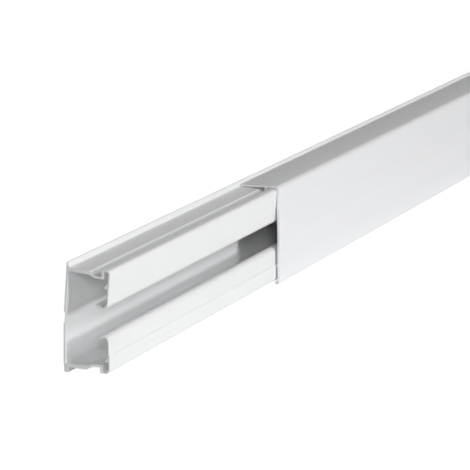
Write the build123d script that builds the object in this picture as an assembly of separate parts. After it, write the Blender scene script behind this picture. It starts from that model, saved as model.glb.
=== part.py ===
from build123d import *
import math
import os

os.makedirs("parts", exist_ok=True)

# Two-piece cord cover raceway: a channel that fastens to the wall and a cover
# that clips over its front. Both are straight extrusions of one section.
# X runs along the length, Y from the front (negative) to the back (positive),
# Z is up. A section is drawn as depth from the back plane and height above
# the floor, and is then turned into that frame.

# Lengths: the cover starts short of the channel at the near end
stock_length = 2000.0
cover_setback = 192.0

# Height over the two edges of the back, and walls of the channel
section_height = 50.0
back_wall = 1.0
arm_wall = 1.75
groove_floor_wall = 1.15
groove_wall_thickness = 1.35
front_wall = 0.85
lip_wall = 0.9
edge_round = 0.35
inner_round = 0.6

# Back of the channel: flat below a shallow groove at middle height, and
# leaning slightly towards the front above it
back_groove_width = 5.0
back_groove_depth = 0.45
back_groove_slope = 0.35
upper_lean = 2.9

# Lower edge of the back: a foot that stands free below the lower arm
foot_forward = 0.3
foot_width = 2.0
foot_round = 0.8
foot_relief_height = 4.9
foot_root_round = 0.4

# Upper edge of the back: a thin flange in front of which the cover's leg ends
flange_thickness = 0.8
flange_root = 1.25
flange_root_round = 1.0

# Arms: insets are measured from the outer edge of the back on that side
lower_arm_depth = 22.4
upper_arm_depth = 21.1
arm_inset = 2.45
groove_inset = 4.2
groove_slope_run = 2.6
groove_bend = 1.2
lower_groove_width = 3.8
upper_groove_width = 3.1
lower_nose_width = 4.7
lower_nose_inset = 1.6
lower_nose_round = 1.8
upper_nose_width = 4.2
upper_nose_inset = 1.1
upper_nose_round = 1.7

# Curled lips on both sides of the wiring slot
lip_inset = 18.6
lip_step_inset = 9.7
lower_lip_step = 0.45
upper_lip_step = 0.15
lip_curl_radius = 2.8
lip_curl_run = 3.6
lip_hook_round = 1.2
lip_hook_rise = 1.4
upper_lip_reach = 5.9
lower_lip_reach = 5.0

# Barbs inside the front walls
barb_reach = 1.8
barb_tip_width = 0.3
barb_root_near = 6.9
barb_root_width = 2.8
upper_barb_drop = 2.0
lower_barb_drop = -0.4

# Cover
cover_wall = 1.2
leg_wall = 1.0
cover_gap_low = 1.15
cover_gap_high = 0.18
leg_gap_back = 0.12
leg_gap_front = 0.1
cover_corner_round = 2.6
cover_bottom_round = 1.8
leg_tip_gap = 0.2
leg_tip_wall = 0.4
leg_taper = 2.2
leg_chamfer = 1.2
hook_thickness = 1.3
hook_gap = 0.5
hook_end_gap = 0.35
hook_bead = 0.5
hook_bead_height = 0.9
bottom_lip_catch = 0.35
bottom_lip_gap = 0.15
bottom_lip_wall = 1.2
cover_rib_width = 1.6
cover_rib_height = 0.4
cover_rib_low = 9.6
cover_rib_high = 39.3

middle = section_height / 2
lean = math.radians(upper_lean)


def corner_arc(before, corner, after, radius):
    """Start, middle and end of the arc that rounds a corner."""
    to_before = (Vector(*before) - Vector(*corner)).normalized()
    to_after = (Vector(*after) - Vector(*corner)).normalized()
    half = math.radians(to_before.get_angle(to_after)) / 2
    run = radius / math.tan(half)
    bisector = (to_before + to_after).normalized()
    centre = Vector(*corner) + bisector * (radius / math.sin(half))
    return (
        Vector(*corner) + to_before * run,
        centre - bisector * radius,
        Vector(*corner) + to_after * run,
    )


def outline(corners):
    """Face inside a closed outline of (depth, height, corner radius)."""
    points = [(depth, height) for depth, height, radius in corners]
    stops = []
    for i, (depth, height, radius) in enumerate(corners):
        if radius > 0:
            before = points[i - 1]
            after = points[(i + 1) % len(points)]
            stops.append(corner_arc(before, points[i], after, radius))
        else:
            stops.append((Vector(depth, height),))
    edges = []
    for i, stop in enumerate(stops):
        following = stops[(i + 1) % len(stops)]
        if len(stop) == 3:
            edges.append(ThreePointArc(*stop))
        if (following[0] - stop[-1]).length > 1e-6:
            edges.append(Line(stop[-1], following[0]))
    return make_face(edges)


def leaned(depth, inset, radius=0):
    """Corner of the upper half, given by its distance from the upper edge."""
    height = middle / math.cos(lean) - inset
    return (
        depth * math.cos(lean) + height * math.sin(lean),
        middle + height * math.cos(lean) - depth * math.sin(lean),
        radius,
    )


def bend_shift(wall, groove_drop):
    """Shift of the inner corners of the bend into a snap groove."""
    return wall * math.tan(math.atan2(groove_drop, groove_slope_run) / 2)


def arm_outside(arm_depth, nose, groove_width, lip_step):
    """Outer side of an arm from its snap groove to the step of the lip."""
    nose_width, nose_inset, nose_round = nose
    groove_wall = arm_depth - nose_width
    groove_start = groove_wall - groove_width
    return [
        (groove_start - groove_slope_run, arm_inset, groove_bend),
        (groove_start, groove_inset, groove_bend),
        (groove_wall, groove_inset, edge_round),
        (groove_wall, nose_inset, edge_round),
        (arm_depth, nose_inset, nose_round),
        (arm_depth, lip_step_inset, 0),
        (arm_depth - lip_step, lip_step_inset + lip_step, 0),
    ]


def lip(face, reach):
    """Curled lip: down its outer side, round the free end and back inside."""
    slant = math.atan2(lip_hook_rise, reach - lip_curl_run)
    shift = lip_wall * math.tan(slant / 2)
    end = face - reach
    end_inset = lip_inset - lip_hook_rise
    across = lip_wall * math.sin(slant)
    up = lip_wall * math.cos(slant)
    return [
        (face, lip_inset, lip_curl_radius),
        (face - lip_curl_run, lip_inset, lip_hook_round),
        (end, end_inset, edge_round),
        (end + across, end_inset - up, edge_round),
        (face - lip_curl_run + shift, lip_inset - lip_wall, lip_hook_round - shift),
        (face - lip_wall, lip_inset - lip_wall, lip_curl_radius - lip_wall),
    ]


def arm_inside(arm_depth, nose, groove_width, barb_drop):
    """Inner side of an arm from the lip back to the wall of the channel."""
    nose_width, nose_inset, nose_round = nose
    face = arm_depth - front_wall
    groove_wall = arm_depth - nose_width
    groove_start = groove_wall - groove_width
    floor = groove_inset + groove_floor_wall
    ceiling = arm_inset + arm_wall
    shift = bend_shift(groove_floor_wall, floor - ceiling)
    barb_tip = barb_root_near + barb_drop
    return [
        (face, barb_root_near + barb_root_width, 0),
        (face - barb_reach, barb_tip + barb_tip_width, 0),
        (face - barb_reach, barb_tip, 0),
        (face, barb_root_near, 0),
        (face, nose_inset + front_wall, nose_round - front_wall),
        (groove_wall + groove_wall_thickness, nose_inset + front_wall, edge_round),
        (groove_wall + groove_wall_thickness, floor, inner_round),
        (groove_start - shift, floor, groove_bend),
        (groove_start - groove_slope_run - shift, ceiling, groove_bend),
        (back_wall, ceiling, inner_round),
    ]


# Channel section: up the back, round the upper arm and its lip, down the
# inside of the back, round the lower lip and arm, and back to the foot
upper_lip_face = upper_arm_depth - upper_lip_step
lower_lip_face = lower_arm_depth - lower_lip_step
upper_nose = (upper_nose_width, upper_nose_inset, upper_nose_round)
lower_nose = (lower_nose_width, lower_nose_inset, lower_nose_round)
upper_side = [
    (0, 0, edge_round),
    (flange_thickness, 0, edge_round),
    (flange_root, arm_inset, flange_root_round),
    *arm_outside(upper_arm_depth, upper_nose, upper_groove_width, upper_lip_step),
    *lip(upper_lip_face, upper_lip_reach),
    *arm_inside(upper_arm_depth, upper_nose, upper_groove_width, upper_barb_drop),
]
lower_side = [
    (0, foot_relief_height, 0),
    (foot_forward, 0, foot_round),
    (foot_forward + foot_width, 0, edge_round),
    (foot_forward + foot_width, arm_inset, foot_root_round),
    *arm_outside(lower_arm_depth, lower_nose, lower_groove_width, lower_lip_step),
    *lip(lower_lip_face, lower_lip_reach),
    *arm_inside(lower_arm_depth, lower_nose, lower_groove_width, lower_barb_drop),
]
groove_low = middle - back_groove_width / 2
groove_high_inset = middle / math.cos(lean) - back_groove_width / 2
channel_section = outline(
    [
        (0, groove_low, 0),
        (back_groove_depth, groove_low + back_groove_slope, 0),
        leaned(back_groove_depth, groove_high_inset + back_groove_slope),
        leaned(0, groove_high_inset),
        *[leaned(*corner) for corner in upper_side],
        (back_wall, middle, 0),
        *reversed(lower_side),
    ]
)

# Levels of the cover, taken from the channel that it fits over
flange_foot = leaned(flange_root, arm_inset)
nose_top = leaned(upper_arm_depth - upper_nose_width, upper_nose_inset)
nose_front = leaned(upper_arm_depth, upper_nose_inset + upper_nose_round)
hook_wall = leaned(upper_arm_depth - upper_nose_width, groove_inset)
underside_back = flange_foot[1] + leg_gap_back
underside_front = nose_top[1] + leg_gap_front
leg_slope = (underside_front - underside_back) / (nose_top[0] - flange_foot[0])
front_slope = (lower_arm_depth + cover_gap_low - nose_front[0] - cover_gap_high) / nose_front[1]


def leg_underside(depth):
    """Height of the lower face of the cover's top leg at a depth."""
    return underside_back + leg_slope * (depth - flange_foot[0])


def cover_face(height):
    """Depth of the inner face of the cover's front at a height."""
    return lower_arm_depth + cover_gap_low - front_slope * height


def rib(height):
    """Small rib inside the front that spaces the cover off the channel."""
    half = cover_rib_width / 2
    return [
        (cover_face(height - half), height - half, 0),
        (cover_face(height) - cover_rib_height, height - half / 2, 0),
        (cover_face(height) - cover_rib_height, height + half / 2, 0),
        (cover_face(height + half), height + half, 0),
    ]


# Cover section: from the back tip of the top leg over the corner, down the
# front, round the bottom lip and back up the inside to the hook
leg_tip = flange_foot[0] + leg_tip_gap
leg_tip_low = leg_underside(leg_tip) + leg_tip_wall
leg_tip_high = leg_tip_low + leg_tip_wall
taper_end = leg_tip + leg_taper
corner_depth = cover_face(underside_front) + cover_wall
hook_front = hook_wall[0] - hook_gap - hook_bead
hook_back = hook_front - hook_thickness
hook_end = hook_wall[1] + hook_end_gap
lip_end = lower_arm_depth - bottom_lip_catch
lip_bead_top = lower_nose_inset - bottom_lip_gap
cover_section = outline(
    [
        (leg_tip, leg_tip_low, 0),
        (leg_tip, leg_tip_high, 0),
        (taper_end, leg_underside(taper_end) + leg_wall, 0),
        (corner_depth, leg_underside(corner_depth) + leg_wall, cover_corner_round),
        (cover_face(0) + cover_wall, 0, cover_bottom_round),
        (lip_end, 0, edge_round),
        (lip_end, lip_bead_top, edge_round),
        (lip_end + 2 * edge_round, bottom_lip_wall, 0),
        (cover_face(bottom_lip_wall), bottom_lip_wall, edge_round),
        *rib(cover_rib_low),
        *rib(cover_rib_high),
        (
            cover_face(underside_front),
            leg_underside(cover_face(underside_front)),
            cover_corner_round - cover_wall,
        ),
        (hook_front, leg_underside(hook_front), edge_round),
        (hook_front, hook_end + hook_bead_height, 0),
        (hook_front + hook_bead, hook_end + hook_bead_height / 2, 0),
        (hook_front, hook_end, 0),
        (hook_back, hook_end, 0),
        (hook_back, leg_underside(hook_back), edge_round),
        (leg_tip + leg_chamfer, leg_underside(leg_tip + leg_chamfer), 0),
    ]
)

# Overall depth, from the back plane to the front of the cover at its foot
section_depth = lower_arm_depth + cover_gap_low + cover_wall


def stock(section, start, finish):
    """Extrusion of a section from one place along X to another."""
    across = Plane(
        origin=(start - stock_length / 2, section_depth / 2, 0),
        x_dir=(0, -1, 0),
        z_dir=(-1, 0, 0),
    )
    return extrude(across * section, amount=finish - start, dir=(1, 0, 0))


base_channel = stock(channel_section, 0, stock_length)
clip_cover = stock(cover_section, cover_setback, stock_length)

export_step(base_channel, "parts/base_channel.step")
export_step(clip_cover, "parts/clip_cover.step")
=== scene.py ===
# %% [markdown]
# A two-piece cord cover raceway
#
# The object is a length of surface raceway that hides cords on a wall. It has two pieces, both extruded
# from white plastic: a channel that is fixed to the wall, and a cover that clips over its front. The cover
# is set back from the near end, so that the section of the channel and the slot between its lips show.
# Each piece is one section pulled to a length, so nearly all of the work is in drawing the two sections.
# The solids of the part come first, as a fixed frame in metres. They say where each piece belongs, and
# nothing here moves them.

# %% Load the frame
import math

import bmesh
import bpy
from mathutils import Matrix, Vector


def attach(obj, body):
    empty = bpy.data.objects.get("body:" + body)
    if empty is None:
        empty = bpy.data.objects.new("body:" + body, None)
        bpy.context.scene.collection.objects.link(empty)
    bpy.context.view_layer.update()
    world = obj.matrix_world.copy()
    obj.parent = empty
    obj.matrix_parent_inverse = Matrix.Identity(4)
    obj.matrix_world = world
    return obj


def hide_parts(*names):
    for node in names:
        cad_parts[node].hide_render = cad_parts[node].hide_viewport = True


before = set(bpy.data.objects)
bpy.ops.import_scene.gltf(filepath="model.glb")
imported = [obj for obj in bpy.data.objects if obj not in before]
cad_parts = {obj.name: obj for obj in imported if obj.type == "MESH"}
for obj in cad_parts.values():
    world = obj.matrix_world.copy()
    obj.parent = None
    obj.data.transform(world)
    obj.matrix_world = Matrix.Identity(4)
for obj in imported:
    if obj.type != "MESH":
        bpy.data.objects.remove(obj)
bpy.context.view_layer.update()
mm = 0.001


def in_mm(box):
    """The two corners of a box in millimetres, for printing."""
    return [[round(value / mm, 2) for value in corner] for corner in box]


print("nodes:", sorted(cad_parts))

# %% [markdown]
# Camera
#
# The raceway was photographed from the front, past its near end and a little from above, with a long lens.
# A long lens keeps the far part of the stock nearly as tall as the near part. The view could be set up with
# a target and a constraint, but three turns are plainer: the camera looks along the floor, is turned to
# face along the stock, tipped down, and rolled by the small amount that the picture leans.

# %% Camera
camera_place = Vector((-2.22414, -0.57872, 0.37082))
turn_from_length = math.radians(22.636)
tip_down = math.radians(12.777)
lean_of_picture = math.radians(0.931)
picture_width_in_pixels = 470
focal_length_in_pixels = 3200
sensor_width = 36.0

camera_data = bpy.data.cameras.new("camera")
camera_data.sensor_width = sensor_width
camera_data.lens = focal_length_in_pixels / picture_width_in_pixels * sensor_width
camera = bpy.data.objects.new("camera", camera_data)
bpy.context.scene.collection.objects.link(camera)
camera.matrix_world = (
    Matrix.Translation(camera_place)
    @ Matrix.Rotation(turn_from_length - math.pi / 2, 4, "Z")
    @ Matrix.Rotation(math.pi / 2 - tip_down, 4, "X")
    @ Matrix.Rotation(lean_of_picture, 4, "Z")
)
bpy.context.scene.camera = camera
print("lens in mm:", round(camera_data.lens, 1))

# %% [markdown]
# Sizes of the sections
#
# A section is drawn as depth from the back plane, which is the wall, and height above the floor. The
# frame's Y runs towards the wall, so a depth becomes a smaller Y. All sizes are the real ones. The outline
# could be copied from the solids of the frame, but then it would have their few facets on each round. Drawn
# from its own sizes, it gets arcs that stay smooth close up.

# %% Overall sizes
stock_length = 2000 * mm
cover_setback = 192 * mm
section_height = 50 * mm
lower_arm_depth = 22.4 * mm
upper_arm_depth = 21.1 * mm
cover_wall = 1.2 * mm
cover_gap_low = 1.15 * mm
section_depth = lower_arm_depth + cover_gap_low + cover_wall
middle = section_height / 2
lean = math.radians(2.9)
print("section in mm:", round(section_depth / mm, 2), "deep,", round(section_height / mm, 2), "high")

# %% The half that leans


def leaned(depth, inset, radius=0):
    """Corner of the upper half, which leans forward, by its distance from the upper edge."""
    height = middle / math.cos(lean) - inset
    return (
        depth * math.cos(lean) + height * math.sin(lean),
        middle + height * math.cos(lean) - depth * math.sin(lean),
        radius,
    )


print("the upper edge of the back comes forward by mm:", round(leaned(0, 0)[0] / mm, 2))

# %% [markdown]
# How a section is drawn
#
# The outline could be a curve object with a bevel depth, or thin sheets with a Solidify modifier. The walls
# differ in thickness and carry barbs and hooks, so the outline is traced instead: a plane is added and
# merged to one vertex, and that vertex is extruded from corner to corner, as with the E key. The corners
# are traced sharp. Once the outline is filled, each one gets its radius by a vertex bevel, which is how an
# extrusion die is drawn too.

# %% Tools for tracing
seed_size = 1 * mm
traced = []


def world_point(x, depth, height):
    """Point of the frame for a place along the stock and a point of the section."""
    return Vector((x, section_depth / 2 - depth, height))


def start_outline(name, x, depth, height):
    """A new object in edit mode that holds one selected vertex."""
    bpy.ops.object.select_all(action="DESELECT")
    bpy.ops.mesh.primitive_plane_add(size=seed_size, location=world_point(x, depth, height))
    piece = bpy.context.object
    piece.name = piece.data.name = name
    bpy.ops.object.mode_set(mode="EDIT")
    bpy.ops.mesh.select_mode(type="VERT")
    bpy.ops.mesh.select_all(action="SELECT")
    bpy.ops.mesh.merge(type="CENTER")
    bpy.ops.mesh.select_all(action="SELECT")
    traced.clear()
    traced.append((depth, height, 0))
    return piece


def trace(corners):
    """Extrudes the selected vertex from corner to corner, and keeps each corner's radius for later."""
    for depth, height, radius in corners:
        step = world_point(0, depth, height) - world_point(0, *traced[-1][:2])
        bpy.ops.mesh.extrude_region_move(TRANSFORM_OT_translate={"value": step})
        traced.append((depth, height, radius))
    print("corners so far:", len(traced))


# %% Tools for picking and filling


def edit_mesh(piece):
    """The mesh of a piece in edit mode."""
    mesh = bmesh.from_edit_mesh(piece.data)
    mesh.verts.ensure_lookup_table()
    return mesh


def select_vertices(piece, wanted):
    """Selects the vertices that a test picks, and nothing else."""
    bpy.ops.mesh.select_all(action="DESELECT")
    mesh = edit_mesh(piece)
    for vertex in mesh.verts:
        vertex.select = wanted(vertex)
    mesh.select_flush(True)
    bmesh.update_edit_mesh(piece.data)


def close_outline(piece):
    """Joins the last corner to the first one and fills the outline."""
    select_vertices(piece, lambda vertex: len(vertex.link_edges) < 2)
    bpy.ops.mesh.edge_face_add()
    bpy.ops.mesh.select_all(action="SELECT")
    bpy.ops.mesh.edge_face_add()
    print("vertices of the filled outline:", len(edit_mesh(piece).verts))


# %% Tool for rounding
arc_step = math.radians(7.5)
fewest_arc_steps = 2
round_profile = 0.5
same_place = 0.0001 * mm
merge_distance = 0.002 * mm


def round_corners(piece, x):
    """Gives every traced corner its radius, by a bevel as long as the arc's tangent."""
    origin = piece.matrix_world.translation
    for i, (depth, height, radius) in enumerate(traced):
        if radius == 0:
            continue
        place = world_point(x, depth, height)
        before = world_point(x, *traced[i - 1][:2]) - place
        after = world_point(x, *traced[(i + 1) % len(traced)][:2]) - place
        half = before.angle(after) / 2
        corner = min(edit_mesh(piece).verts, key=lambda vertex: (vertex.co + origin - place).length)
        spot = corner.co.copy()
        select_vertices(piece, lambda vertex: (vertex.co - spot).length < same_place)
        bpy.ops.mesh.bevel(
            affect="VERTICES",
            offset_type="OFFSET",
            offset=radius / math.tan(half),
            segments=max(fewest_arc_steps, round((math.pi - 2 * half) / arc_step)),
            profile=round_profile,
            clamp_overlap=False,
        )
    bpy.ops.mesh.select_all(action="SELECT")
    bpy.ops.mesh.remove_doubles(threshold=merge_distance)
    print("points of the rounded outline:", len(edit_mesh(piece).verts))


# %% [markdown]
# Channel: the back and its two edges
#
# The back lies on the wall. It has a shallow groove at middle height, where the upper half starts to lean
# towards the front. The upper edge is a thin flange with a round root, in front of which the cover's leg
# ends. The lower edge is a foot that stands free below the lower arm. The upper half could be drawn upright
# and rotated, but the wall would then have to be joined again where the halves meet. Leaning each corner as
# it is traced keeps the outline in one piece.

# %% Back and flange
saw_edge = 0.12 * mm
edge_round = 0.35 * mm
arm_inset = 2.45 * mm
groove_width = 5.0 * mm
groove_depth = 0.45 * mm
groove_slope = 0.35 * mm
flange_thickness = 0.8 * mm
flange_root = 1.25 * mm
flange_root_round = 1.0 * mm
groove_low = middle - groove_width / 2
groove_high_inset = middle / math.cos(lean) - groove_width / 2

channel_start = -stock_length / 2 + saw_edge
channel = start_outline("base_channel_plastic", channel_start, 0, groove_low)
trace(
    [
        (groove_depth, groove_low + groove_slope, 0),
        leaned(groove_depth, groove_high_inset + groove_slope),
        leaned(0, groove_high_inset),
        leaned(0, 0, edge_round),
        leaned(flange_thickness, 0, edge_round),
        leaned(flange_root, arm_inset, flange_root_round),
    ]
)

# %% [markdown]
# Channel: the arms
#
# An arm stands out from each edge of the back. It drops over a slope into the snap groove that the cover's
# hook reaches into, and ends in a rounded nose. The lower arm could be a mirror copy of the upper one, but
# the real ones differ in a few sizes, so one function gives the outer side of either, and another the inner
# side. A nose is given by its width, its inset from the edge of the back, and the radius of its corner.

# %% Outer side of an arm
groove_inset = 4.2 * mm
groove_slope_run = 2.6 * mm
groove_bend = 1.2 * mm
lower_groove_width = 3.8 * mm
upper_groove_width = 3.1 * mm
lower_nose = (4.7 * mm, 1.6 * mm, 1.8 * mm)
upper_nose = (4.2 * mm, 1.1 * mm, 1.7 * mm)
lip_step_inset = 9.7 * mm
lower_lip_step = 0.45 * mm
upper_lip_step = 0.15 * mm


def arm_outside(arm_depth, nose, snap_width, lip_step):
    """Outer side of an arm, from its snap groove to the step above or below the lip."""
    nose_width, nose_inset, nose_round = nose
    groove_wall = arm_depth - nose_width
    groove_start = groove_wall - snap_width
    return [
        (groove_start - groove_slope_run, arm_inset, groove_bend),
        (groove_start, groove_inset, groove_bend),
        (groove_wall, groove_inset, edge_round),
        (groove_wall, nose_inset, edge_round),
        (arm_depth, nose_inset, nose_round),
        (arm_depth, lip_step_inset, 0),
        (arm_depth - lip_step, lip_step_inset + lip_step, 0),
    ]


upper_outside = arm_outside(upper_arm_depth, upper_nose, upper_groove_width, upper_lip_step)
trace([leaned(*corner) for corner in upper_outside])

# %% [markdown]
# Channel: the lips
#
# The front wall below the nose ends in a lip that curls back into the channel. Its rounded face lets a cord
# be pushed into the slot, and its hooked end keeps the cord from falling out again. A lip could be spun
# round the centre of its curl. As two bends of the outline it needs only six corners. The inner corner of
# the curl has the outer one's radius less the wall, so the wall keeps its thickness round it.

# %% Curled lip
lip_wall = 0.9 * mm
lip_inset = 18.6 * mm
lip_curl_radius = 2.8 * mm
lip_curl_run = 3.6 * mm
lip_hook_round = 1.2 * mm
lip_hook_rise = 1.4 * mm
upper_lip_reach = 5.9 * mm
lower_lip_reach = 5.0 * mm


def lip(face, reach):
    """Lip from the foot of its outer side, round the free end, to its inner side."""
    slant = math.atan2(lip_hook_rise, reach - lip_curl_run)
    shift = lip_wall * math.tan(slant / 2)
    end = face - reach
    end_inset = lip_inset - lip_hook_rise
    across = lip_wall * math.sin(slant)
    up = lip_wall * math.cos(slant)
    return [
        (face, lip_inset, lip_curl_radius),
        (face - lip_curl_run, lip_inset, lip_hook_round),
        (end, end_inset, edge_round),
        (end + across, end_inset - up, edge_round),
        (face - lip_curl_run + shift, lip_inset - lip_wall, lip_hook_round - shift),
        (face - lip_wall, lip_inset - lip_wall, lip_curl_radius - lip_wall),
    ]


trace([leaned(*corner) for corner in lip(upper_arm_depth - upper_lip_step, upper_lip_reach)])

# %% [markdown]
# Channel: the inner sides
#
# Inside, the front wall carries a small barb that points at the back. Behind it the wall goes round the
# nose and the snap groove and along the arm to the back, and it is twice as thick in the arm as in front.
# An inset of the outer side would give one thickness all over and no barb, so the inner side is traced
# too, with a named wall for each stretch.

# %% Inner side of an arm
back_wall = 1.0 * mm
arm_wall = 1.75 * mm
groove_floor_wall = 1.15 * mm
groove_wall_thickness = 1.35 * mm
front_wall = 0.85 * mm
inner_round = 0.6 * mm
barb_reach = 1.8 * mm
barb_tip_width = 0.3 * mm
barb_root_near = 6.9 * mm
barb_root_width = 2.8 * mm
upper_barb_drop = 2.0 * mm
lower_barb_drop = -0.4 * mm


def arm_inside(arm_depth, nose, snap_width, barb_drop):
    """Inner side of an arm, from the lip past the barb and the nose to the back."""
    nose_width, nose_inset, nose_round = nose
    face = arm_depth - front_wall
    nose_back = arm_depth - nose_width + groove_wall_thickness
    floor = groove_inset + groove_floor_wall
    ceiling = arm_inset + arm_wall
    shift = groove_floor_wall * math.tan(math.atan2(floor - ceiling, groove_slope_run) / 2)
    slope_end = arm_depth - nose_width - snap_width - shift
    barb_tip = barb_root_near + barb_drop
    return [
        (face, barb_root_near + barb_root_width, 0),
        (face - barb_reach, barb_tip + barb_tip_width, 0),
        (face - barb_reach, barb_tip, 0),
        (face, barb_root_near, 0),
        (face, nose_inset + front_wall, nose_round - front_wall),
        (nose_back, nose_inset + front_wall, edge_round),
        (nose_back, floor, inner_round),
        (slope_end, floor, groove_bend),
        (slope_end - groove_slope_run, ceiling, groove_bend),
        (back_wall, ceiling, inner_round),
    ]


upper_inside = arm_inside(upper_arm_depth, upper_nose, upper_groove_width, upper_barb_drop)
trace([leaned(*corner) for corner in upper_inside])
trace([(back_wall, middle, 0)])

# %% [markdown]
# Channel: the lower half
#
# The lower half is upright and has the same parts. Its insets count from the floor, so its corners need no
# leaning. The outline is one loop, so they are traced the other way round: from the back along the inner
# side of the lower arm, round the lower lip, and along the outer side to the foot.

# %% Lower arm, lip and foot
foot_forward = 0.3 * mm
foot_width = 2.0 * mm
foot_round = 0.8 * mm
foot_relief_height = 4.9 * mm
foot_root_round = 0.4 * mm

lower_side = [
    (0, foot_relief_height, 0),
    (foot_forward, 0, foot_round),
    (foot_forward + foot_width, 0, edge_round),
    (foot_forward + foot_width, arm_inset, foot_root_round),
    *arm_outside(lower_arm_depth, lower_nose, lower_groove_width, lower_lip_step),
    *lip(lower_arm_depth - lower_lip_step, lower_lip_reach),
    *arm_inside(lower_arm_depth, lower_nose, lower_groove_width, lower_barb_drop),
]
trace(list(reversed(lower_side)))
close_outline(channel)
round_corners(channel, channel_start)

# %% [markdown]
# From section to stock
#
# Extruding the filled face gives the length. A Solidify modifier would do it too, but an extrusion leaves
# two plain end faces that can be picked by their normals. Such stock is cut with a fine saw, which leaves a
# narrow bright edge round the cut. An inset of each end face, raised by as much as it is inset, makes that
# edge. The length is drawn shorter by it, so that the piece ends where the solid does.

# %% Tools for pulling to length
end_normal = 0.99
smooth_angle = math.radians(30)


def select_end_faces(piece):
    """Selects the faces that close the two ends."""
    bpy.ops.mesh.select_all(action="DESELECT")
    bpy.ops.mesh.select_mode(type="FACE")
    mesh = edit_mesh(piece)
    for face in mesh.faces:
        face.select = abs(face.normal.x) > end_normal
    bmesh.update_edit_mesh(piece.data)


def pull_to_length(piece, length):
    """Extrudes the section along the stock and finishes both sawn ends."""
    bpy.ops.mesh.select_all(action="SELECT")
    bpy.ops.mesh.extrude_region_move(TRANSFORM_OT_translate={"value": (length, 0, 0)})
    bpy.ops.mesh.select_all(action="SELECT")
    bpy.ops.mesh.normals_make_consistent(inside=False)
    select_end_faces(piece)
    bpy.ops.mesh.inset(thickness=saw_edge, depth=saw_edge, use_individual=True)
    bpy.ops.object.mode_set(mode="OBJECT")
    bpy.ops.object.transform_apply(location=True, rotation=True, scale=True)
    bpy.ops.object.shade_smooth_by_angle(angle=smooth_angle)


# %% Tool for measuring


def measure(piece):
    """Prints the faces, open edges, volume and box of a finished piece."""
    mesh = bmesh.new()
    mesh.from_mesh(piece.data)
    open_edges = sum(not edge.is_manifold for edge in mesh.edges)
    volume = mesh.calc_volume(signed=True) / mm**3
    low = [min(vertex.co[i] for vertex in mesh.verts) for i in range(3)]
    high = [max(vertex.co[i] for vertex in mesh.verts) for i in range(3)]
    print(piece.name, len(mesh.faces), "faces,", open_edges, "open edges, cubic mm:", round(volume))
    print("piece box in mm:", in_mm((low, high)))
    mesh.free()


# %% Channel to length
pull_to_length(channel, stock_length - 2 * saw_edge)
measure(channel)

# %% [markdown]
# Cover
#
# The cover is a thin leg that lies over the upper arm, a rounded corner, a plain front and a short lip
# under the lower nose. A hook under the leg drops into the snap groove behind the upper nose. Two low ribs
# inside the front keep it off the channel. Its section could have sizes of its own, but then it would come
# loose or bite when the channel changes. It follows from the channel and from named clearances instead, so
# its levels are worked out first.

# %% Levels of the cover
leg_wall = 1.0 * mm
leg_gap_back = 0.12 * mm
leg_gap_front = 0.1 * mm
cover_gap_high = 0.18 * mm
flange_foot = leaned(flange_root, arm_inset)
nose_width, nose_inset, nose_round = upper_nose
nose_top = leaned(upper_arm_depth - nose_width, nose_inset)
nose_front = leaned(upper_arm_depth, nose_inset + nose_round)
hook_wall = leaned(upper_arm_depth - nose_width, groove_inset)
underside_back = flange_foot[1] + leg_gap_back
underside_front = nose_top[1] + leg_gap_front
leg_slope = (underside_front - underside_back) / (nose_top[0] - flange_foot[0])
front_slope = (lower_arm_depth + cover_gap_low - nose_front[0] - cover_gap_high) / nose_front[1]


def leg_underside(depth):
    """Height of the lower face of the cover's leg at a depth."""
    return underside_back + leg_slope * (depth - flange_foot[0])


def cover_face(height):
    """Depth of the inner face of the cover's front at a height."""
    return lower_arm_depth + cover_gap_low - front_slope * height


print("leg underside in mm:", round(underside_back / mm, 2), "to", round(underside_front / mm, 2))

# %% Trace the leg and the front
leg_tip_gap = 0.2 * mm
leg_tip_wall = 0.4 * mm
leg_taper = 2.2 * mm
cover_corner_round = 2.6 * mm
cover_bottom_round = 1.8 * mm
bottom_lip_catch = 0.35 * mm
bottom_lip_gap = 0.15 * mm
bottom_lip_wall = 1.2 * mm

leg_tip = flange_foot[0] + leg_tip_gap
leg_tip_low = leg_underside(leg_tip) + leg_tip_wall
taper_end = leg_tip + leg_taper
corner_depth = cover_face(underside_front) + cover_wall
lip_end = lower_arm_depth - bottom_lip_catch

cover_start = -stock_length / 2 + cover_setback + saw_edge
cover = start_outline("clip_cover_plastic", cover_start, leg_tip, leg_tip_low)
trace(
    [
        (leg_tip, leg_tip_low + leg_tip_wall, 0),
        (taper_end, leg_underside(taper_end) + leg_wall, 0),
        (corner_depth, leg_underside(corner_depth) + leg_wall, cover_corner_round),
        (cover_face(0) + cover_wall, 0, cover_bottom_round),
        (lip_end, 0, edge_round),
        (lip_end, lower_nose[1] - bottom_lip_gap, edge_round),
        (lip_end + 2 * edge_round, bottom_lip_wall, 0),
        (cover_face(bottom_lip_wall), bottom_lip_wall, edge_round),
    ]
)

# %% Trace the ribs inside the front
rib_width = 1.6 * mm
rib_height = 0.4 * mm
rib_places = (9.6 * mm, 39.3 * mm)

for place in rib_places:
    half = rib_width / 2
    trace(
        [
            (cover_face(place - half), place - half, 0),
            (cover_face(place) - rib_height, place - half / 2, 0),
            (cover_face(place) - rib_height, place + half / 2, 0),
            (cover_face(place + half), place + half, 0),
        ]
    )

# %% Trace the hook and close the section
hook_thickness = 1.3 * mm
hook_gap = 0.5 * mm
hook_end_gap = 0.35 * mm
hook_bead = 0.5 * mm
hook_bead_height = 0.9 * mm
leg_chamfer = 1.2 * mm

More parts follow.
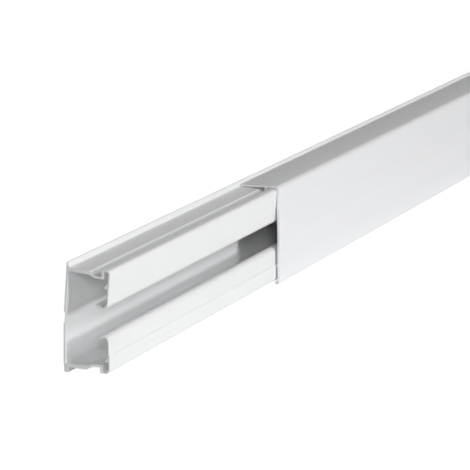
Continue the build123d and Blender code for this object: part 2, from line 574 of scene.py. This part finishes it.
inner_corner = cover_face(underside_front)
hook_front = hook_wall[0] - hook_gap - hook_bead
hook_back = hook_front - hook_thickness
hook_end = hook_wall[1] + hook_end_gap
trace(
    [
        (inner_corner, leg_underside(inner_corner), cover_corner_round - cover_wall),
        (hook_front, leg_underside(hook_front), edge_round),
        (hook_front, hook_end + hook_bead_height, 0),
        (hook_front + hook_bead, hook_end + hook_bead_height / 2, 0),
        (hook_front, hook_end, 0),
        (hook_back, hook_end, 0),
        (hook_back, leg_underside(hook_back), edge_round),
        (leg_tip + leg_chamfer, leg_underside(leg_tip + leg_chamfer), 0),
    ]
)
close_outline(cover)
round_corners(cover, cover_start)

# %% Cover to length
pull_to_length(cover, stock_length - cover_setback - 2 * saw_edge)
measure(cover)

# %% [markdown]
# Finish of the extruded faces
#
# Extruded plastic is smooth and satin. The die leaves very faint lines along the length, the melt cools
# with a soft unevenness of a few tenths of a millimetre, and the white is never quite even. A painted
# picture of such a skin would have to be repeated many times along the stock. A noise that is squeezed
# across the section and stretched along X gives the lines with no repeat. It reads Object coordinates,
# which are metres here, so the sizes of its grain are real ones.

# %% Tools for patterns


def new_material(name):
    """A material with an empty node tree, its tree, and its output node."""
    material = bpy.data.materials.new(name)
    material.use_nodes = True
    tree = material.node_tree
    tree.nodes.clear()
    return material, tree, tree.nodes.new("ShaderNodeOutputMaterial")


def stretched_noise(tree, size_along, size_across, detail=2.0):
    """Noise on Object coordinates, with its own grain size along the stock and across it."""
    coordinates = tree.nodes.new("ShaderNodeTexCoord")
    mapping = tree.nodes.new("ShaderNodeMapping")
    mapping.inputs["Scale"].default_value = (1 / size_along, 1 / size_across, 1 / size_across)
    noise = tree.nodes.new("ShaderNodeTexNoise")
    noise.inputs["Scale"].default_value = 1.0
    noise.inputs["Detail"].default_value = detail
    tree.links.new(coordinates.outputs["Object"], mapping.inputs["Vector"])
    tree.links.new(mapping.outputs["Vector"], noise.inputs["Vector"])
    return noise.outputs["Fac"]


# %% Tools for tones
mix_factor = 0
first_color = 6
second_color = 7
mixed_color = 2


def grey(level):
    """The same level in red, green and blue."""
    return (level, level, level)


def shaded(color, share):
    """A colour scaled by a share."""
    return tuple(share * part for part in color)


def ramp(tree, source, low, high, start=0.3, end=0.7):
    """Maps a noise to a range of colours or values."""
    node = tree.nodes.new("ShaderNodeValToRGB")
    node.color_ramp.elements[0].position = start
    node.color_ramp.elements[0].color = (*low, 1)
    node.color_ramp.elements[1].position = end
    node.color_ramp.elements[1].color = (*high, 1)
    tree.links.new(source, node.inputs["Fac"])
    return node.outputs["Color"]


def multiply(tree, first, second):
    """Product of two colours. The Mix node's colour sockets share their names, so they go by number."""
    node = tree.nodes.new("ShaderNodeMix")
    node.data_type = "RGBA"
    node.blend_type = "MULTIPLY"
    node.inputs[mix_factor].default_value = 1.0
    tree.links.new(first, node.inputs[first_color])
    tree.links.new(second, node.inputs[second_color])
    return node.outputs[mixed_color]


# %% Tools for relief and gloss
plastic_ior = 1.53
satin_specular = 0.1


def bump(tree, height, distance, under=None):
    """Bump of a real height, on top of another bump if one is given."""
    node = tree.nodes.new("ShaderNodeBump")
    node.inputs["Distance"].default_value = distance
    node.inputs["Strength"].default_value = 1.0
    tree.links.new(height, node.inputs["Height"])
    if under is not None:
        tree.links.new(under, node.inputs["Normal"])
    return node.outputs["Normal"]


def plastic(tree, output, color, roughness, normal):
    """Plastic shader with the given colour, roughness and bump, and a weak gloss."""
    shader = tree.nodes.new("ShaderNodeBsdfPrincipled")
    shader.inputs["IOR"].default_value = plastic_ior
    shader.inputs["Specular IOR Level"].default_value = satin_specular
    tree.links.new(color, shader.inputs["Base Color"])
    tree.links.new(roughness, shader.inputs["Roughness"])
    tree.links.new(normal, shader.inputs["Normal"])
    tree.links.new(shader.outputs["BSDF"], output.inputs["Surface"])


# %% Extruded plastic
white = (0.9, 0.905, 0.91)
cover_white = (0.89, 0.895, 0.905)
line_length = 1500 * mm
die_line_width = 0.7 * mm
die_line_height = 0.012 * mm
die_line_shade = 0.99
flow_band_width = 5 * mm
flow_band_shade = 0.985
skin_grain = 0.35 * mm
skin_grain_height = 0.004 * mm
satin_smooth = 0.38
satin_rough = 0.48


def extruded_plastic(name, color):
    """Satin white with die lines, flow bands and a fine grain."""
    material, tree, output = new_material(name)
    lines = stretched_noise(tree, line_length, die_line_width)
    bands = stretched_noise(tree, line_length, flow_band_width)
    grain = stretched_noise(tree, skin_grain, skin_grain, detail=3.0)
    banded = ramp(tree, bands, shaded(color, flow_band_shade), color)
    lined = ramp(tree, lines, grey(die_line_shade), grey(1))
    satin = ramp(tree, lines, grey(satin_smooth), grey(satin_rough))
    relief = bump(tree, grain, skin_grain_height, under=bump(tree, lines, die_line_height))
    plastic(tree, output, multiply(tree, banded, lined), satin, relief)
    return material


channel_finish = extruded_plastic("channel_white_plastic", white)
cover_finish = extruded_plastic("cover_white_plastic", cover_white)
print("finishes:", channel_finish.name, cover_finish.name)

# %% [markdown]
# Finish of the sawn ends
#
# The cut faces show the arcs of the saw blade: fine ridges with a large radius, rougher and duller than the
# skin. The ridges could be cut into the mesh, but they are far too fine to show in the outline, so a wave
# texture gives them as relief. Its rings run round a point below the stock and in front of it, where the
# axle of the blade would be.

# %% Sawn plastic
blade_radius = 110 * mm
ridge_pitch = 0.8 * mm
ridge_height = 0.03 * mm
ridge_shade = 0.93
ridge_wander = 1.5
fuzz_height = 0.02 * mm
fuzz_shade = 0.96
dull_smooth = 0.55
dull_rough = 0.7
ring_pitch_at_scale_one = math.pi / 10


def sawn_plastic(name, color):
    """Duller white with the arcs of a saw blade."""
    material, tree, output = new_material(name)
    coordinates = tree.nodes.new("ShaderNodeTexCoord")
    mapping = tree.nodes.new("ShaderNodeMapping")
    mapping.inputs["Location"].default_value = (0, blade_radius / 2, blade_radius)
    mapping.inputs["Scale"].default_value = (0, 1, 1)
    arcs = tree.nodes.new("ShaderNodeTexWave")
    arcs.wave_type = "RINGS"
    arcs.rings_direction = "SPHERICAL"
    arcs.inputs["Scale"].default_value = ring_pitch_at_scale_one / ridge_pitch
    arcs.inputs["Distortion"].default_value = ridge_wander
    arcs.inputs["Detail"].default_value = 2.0
    tree.links.new(coordinates.outputs["Object"], mapping.inputs["Vector"])
    tree.links.new(mapping.outputs["Vector"], arcs.inputs["Vector"])
    ridges = arcs.outputs["Fac"]
    fuzz = stretched_noise(tree, skin_grain, skin_grain, detail=4.0)
    marked = ramp(tree, ridges, shaded(color, ridge_shade), color, start=0.0, end=1.0)
    fuzzy = ramp(tree, fuzz, grey(fuzz_shade), grey(1))
    dull = ramp(tree, fuzz, grey(dull_smooth), grey(dull_rough))
    relief = bump(tree, fuzz, fuzz_height, under=bump(tree, ridges, ridge_height))
    plastic(tree, output, multiply(tree, marked, fuzzy), dull, relief)
    return material


channel_cut = sawn_plastic("channel_sawn_plastic", white)
cover_cut = sawn_plastic("cover_sawn_plastic", cover_white)
print("finishes:", channel_cut.name, cover_cut.name)

# %% Put the finishes on
cut_normal = 0.5


def dress(piece, skin, cut):
    """Skin on all faces but the sawn ends and their narrow edges."""
    piece.data.materials.append(skin)
    piece.data.materials.append(cut)
    ends = 0
    for face in piece.data.polygons:
        if abs(face.normal.x) > cut_normal:
            face.material_index = 1
            ends += 1
    print(piece.name, "faces of the sawn ends:", ends)


dress(channel, channel_finish, channel_cut)
dress(cover, cover_finish, cover_cut)

# %% [markdown]
# What the pieces stand for
#
# Each piece has the shape and place of one solid of the frame, drawn with finer arcs, and is shown instead
# of it. The cover is clipped on and nothing moves, so both pieces ride on the one body.

# %% Ride and replace
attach(channel, "root")
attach(cover, "root")
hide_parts("base_channel")
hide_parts("clip_cover")
print("shown pieces:", channel.name, cover.name)

# %% [markdown]
# Floor
#
# The floor is a plain pale sheet. More lamps could make it white, but they would wash out the object too.
# What the camera sees of the floor is lifted to white instead, with Is Camera Ray, so that no more light
# reaches the object. The shadow of the object stays on it.

# %% Floor sheet
floor_size = 16.0

bpy.ops.object.select_all(action="DESELECT")
bpy.ops.mesh.primitive_plane_add(size=floor_size)
floor = bpy.context.object
floor.name = "floor"
print("floor in metres:", floor_size, "square")

# %% Tool for rays that reach the camera


def seen_directly(tree):
    """1 for rays from the camera and for those that gloss or glass sends on."""
    path = tree.nodes.new("ShaderNodeLightPath")
    gloss = tree.nodes.new("ShaderNodeMath")
    gloss.operation = "MAXIMUM"
    tree.links.new(path.outputs["Is Camera Ray"], gloss.inputs[0])
    tree.links.new(path.outputs["Is Glossy Ray"], gloss.inputs[1])
    glass = tree.nodes.new("ShaderNodeMath")
    glass.operation = "MAXIMUM"
    tree.links.new(gloss.outputs[0], glass.inputs[0])
    tree.links.new(path.outputs["Is Transmission Ray"], glass.inputs[1])
    return glass.outputs[0]


# %% Floor paint
floor_color = (0.9, 0.9, 0.9, 1)
floor_lift = 0.85

floor_material, floor_tree, floor_output = new_material("pale_floor")
paint = floor_tree.nodes.new("ShaderNodeBsdfDiffuse")
paint.inputs["Color"].default_value = floor_color
lift = floor_tree.nodes.new("ShaderNodeEmission")
strength = floor_tree.nodes.new("ShaderNodeMath")
strength.operation = "MULTIPLY"
strength.inputs[1].default_value = floor_lift
both = floor_tree.nodes.new("ShaderNodeAddShader")
floor_tree.links.new(seen_directly(floor_tree), strength.inputs[0])
floor_tree.links.new(strength.outputs[0], lift.inputs["Strength"])
floor_tree.links.new(paint.outputs["BSDF"], both.inputs[0])
floor_tree.links.new(lift.outputs["Emission"], both.inputs[1])
floor_tree.links.new(both.outputs["Shader"], floor_output.inputs["Surface"])
floor.data.materials.append(floor_material)
print("the camera sees the floor lifted by:", floor_lift)

# %% [markdown]
# Light
#
# The main light is a soft lamp in front of the near end, only a little above the stock, so the front is
# bright, what faces up is greyer, and the upper lip's shadow lies across the slot. It stands well off, so
# that the far half gets its share. A lamp past the near end lights the inside of the channel, and a nearer,
# higher one in front softens the shadows. A low lamp past the far end lights the back and that end without
# reaching the top. One large soft box would be simpler, but it would fill the slot's shadow. The world
# gives an even weak light, and is white where the camera looks at it. A new Background node is light grey,
# so its colour is set to white.

# %% World
ambient = 0.04

world = bpy.data.worlds.new("studio")
bpy.context.scene.world = world
world.use_nodes = True
sky = world.node_tree
sky.nodes.clear()
sky_output = sky.nodes.new("ShaderNodeOutputWorld")
sky_light = sky.nodes.new("ShaderNodeBackground")
sky_light.inputs["Color"].default_value = (1, 1, 1, 1)
sky_range = sky.nodes.new("ShaderNodeMapRange")
sky_range.inputs["To Min"].default_value = ambient
sky_range.inputs["To Max"].default_value = 1.0
sky.links.new(seen_directly(sky), sky_range.inputs["Value"])
sky.links.new(sky_range.outputs["Result"], sky_light.inputs["Strength"])
sky.links.new(sky_light.outputs["Background"], sky_output.inputs["Surface"])
print("light from the world:", ambient)

# %% Lamps
lit_place = Vector((-0.85, 0, 0.03))


def soft_lamp(name, turn, rise, distance, size, level):
    """Round lamp that gives a level on a face towards it, where a level of 1 shows a colour as written."""
    data = bpy.data.lights.new(name, "AREA")
    data.shape = "DISK"
    data.size = size
    data.energy = level * math.pi**2 * distance**2
    lamp = bpy.data.objects.new(name, data)
    bpy.context.scene.collection.objects.link(lamp)
    towards = Vector(
        (
            math.sin(math.radians(turn)) * math.cos(math.radians(rise)),
            -math.cos(math.radians(turn)) * math.cos(math.radians(rise)),
            math.sin(math.radians(rise)),
        )
    )
    lamp.location = lit_place + distance * towards
    lamp.rotation_mode = "QUATERNION"
    lamp.rotation_quaternion = towards.to_track_quat("Z", "Y")
    lamp.visible_camera = False
    print(name, "watts:", round(data.energy, 1))


soft_lamp("key_lamp", turn=-6, rise=16, distance=4, size=0.7, level=0.34)
soft_lamp("near_end_lamp", turn=-65, rise=18, distance=2.2, size=0.5, level=0.35)
soft_lamp("upper_lamp", turn=-8, rise=34, distance=1.2, size=0.4, level=0.25)
soft_lamp("back_lamp", turn=132, rise=2.5, distance=5, size=0.35, level=0.5)
bpy.context.scene.view_settings.view_transform = "Standard"
